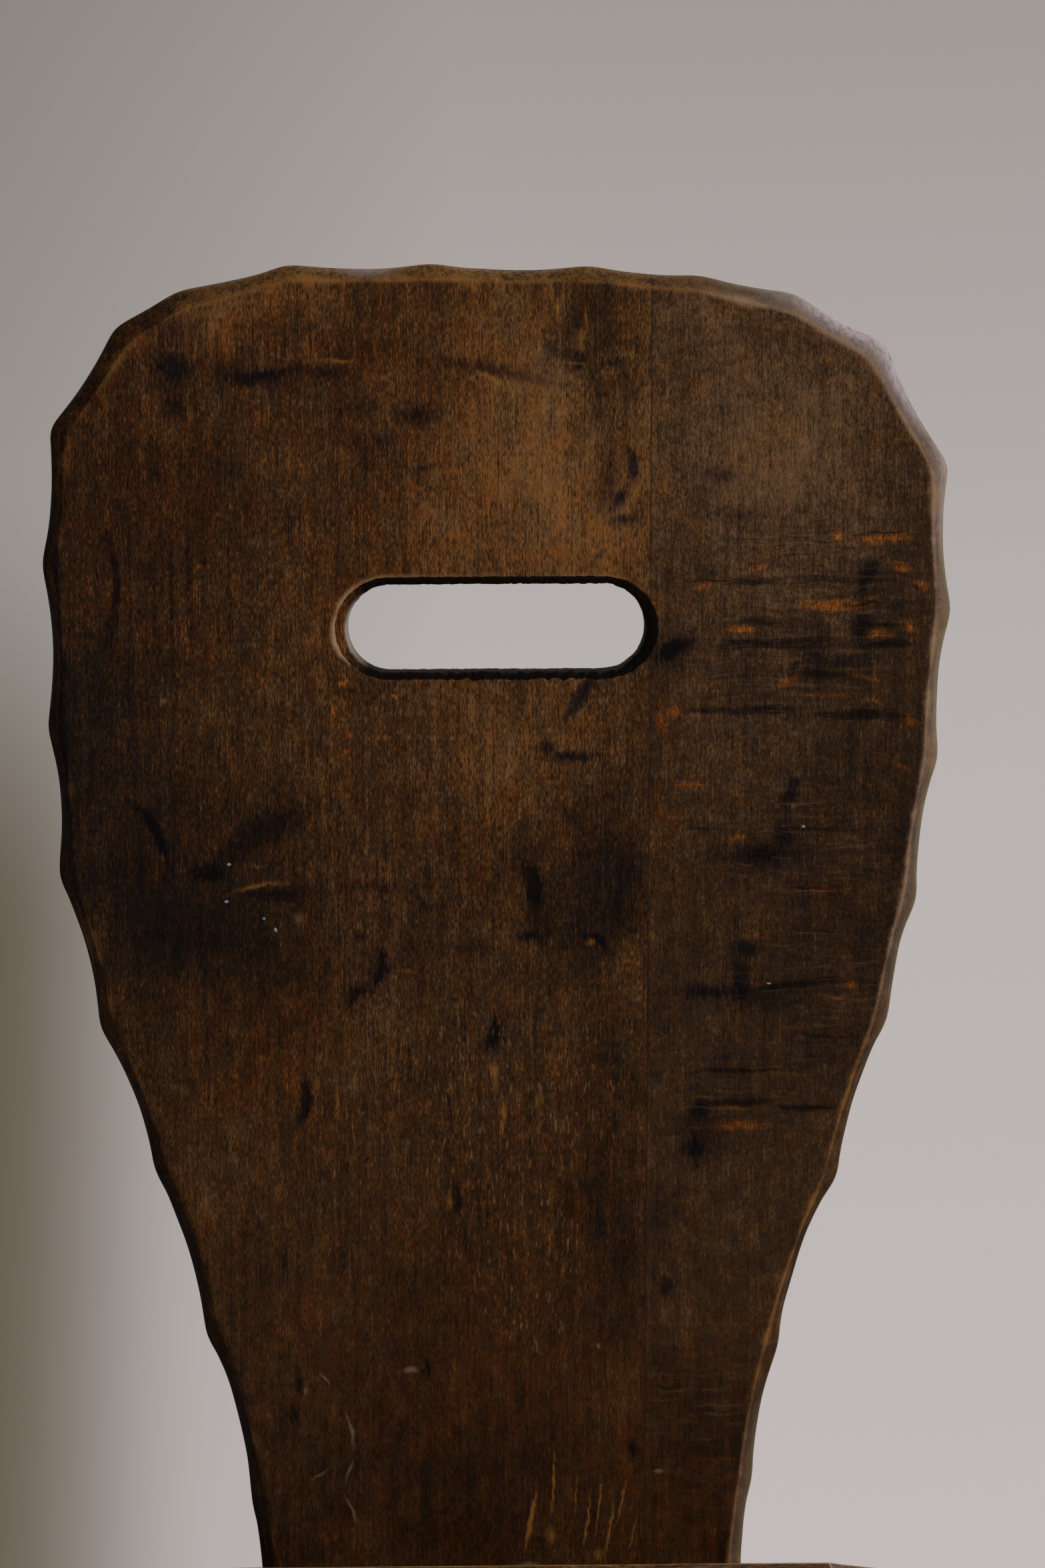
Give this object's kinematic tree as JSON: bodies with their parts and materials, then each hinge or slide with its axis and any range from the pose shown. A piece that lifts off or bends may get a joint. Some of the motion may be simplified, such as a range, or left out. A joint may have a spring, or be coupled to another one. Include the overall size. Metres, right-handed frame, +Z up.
{
  "type": "board-back chair",
  "caption": "Alpine board-back chair: leaning solid back with hand-hold slot, tenoned and keyed through a scalloped plank seat on battens, with splayed octagonal legs wedged from above.",
  "frame": {"origin": "on the floor, under the centre of the whole chair's bounding box", "axes": "+Z up; -Y is the front, so the back leans towards +Y; +X is the sitter's left"},
  "size_m": [0.4002, 0.482, 0.8869],
  "materials": {
    "back_wood": "dark walnut-brown stain on pale hardwood, worn satin varnish",
    "seat_wood": "dark brown stain, satin, polished and worn pale along the arrises",
    "batten_wood": "dark brown stain, dull",
    "leg_wood": "dark brown stain, worn satin varnish",
    "wedge_wood": "paler hardwood under the same stain"
  },
  "bodies": {
    "root": {"back_stave_wide": "back_wood", "back_stave_narrow": "back_wood", "seat_stave_front": "seat_wood", "seat_stave_middle": "seat_wood", "seat_stave_rear": "seat_wood", "batten_left": "batten_wood", "batten_right": "batten_wood", "back_key_left": "batten_wood", "back_key_right": "batten_wood", "leg_front_left": "leg_wood", "leg_wedge_front_left": "wedge_wood", "leg_front_right": "leg_wood", "leg_wedge_front_right": "wedge_wood", "leg_rear_left": "leg_wood", "leg_wedge_rear_left": "wedge_wood", "leg_rear_right": "leg_wood", "leg_wedge_rear_right": "wedge_wood"}
  },
  "joints": []
}
